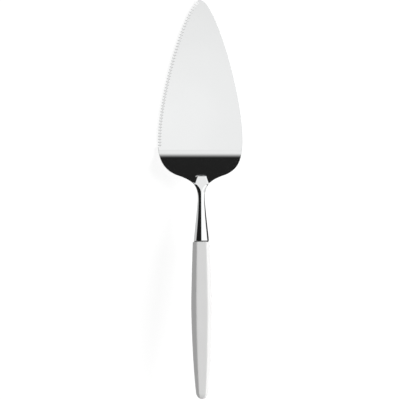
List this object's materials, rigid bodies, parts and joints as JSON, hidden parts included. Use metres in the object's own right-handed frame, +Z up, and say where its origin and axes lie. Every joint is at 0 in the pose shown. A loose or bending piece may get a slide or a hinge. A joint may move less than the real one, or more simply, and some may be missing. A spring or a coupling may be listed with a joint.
{
  "type": "cake server",
  "caption": "Polished steel cake server: leaf-shaped blade with a serrated left edge, raised heel, slender neck and white bevelled handle.",
  "frame": {"origin": "On the flat underside of the blade, in the middle of the line where the blade is widest.", "axes": "+Y points from the handle to the tip of the blade, +Z points up from the face that the blade rests on, and +X points to the right of a person who looks down on the server with its tip away from them."},
  "size_m": [0.0576, 0.2692, 0.0284],
  "materials": {
    "polished_steel": "stainless steel, mirror polished",
    "plain_steel": "stainless steel rod, as turned",
    "white_plastic": "white moulded plastic, glossy",
    "adhesive": "cured epoxy adhesive"
  },
  "bodies": {
    "root": {"blade": "polished_steel", "neck": "polished_steel", "tang": "plain_steel", "handle": "white_plastic", "bond": "adhesive"}
  },
  "joints": []
}
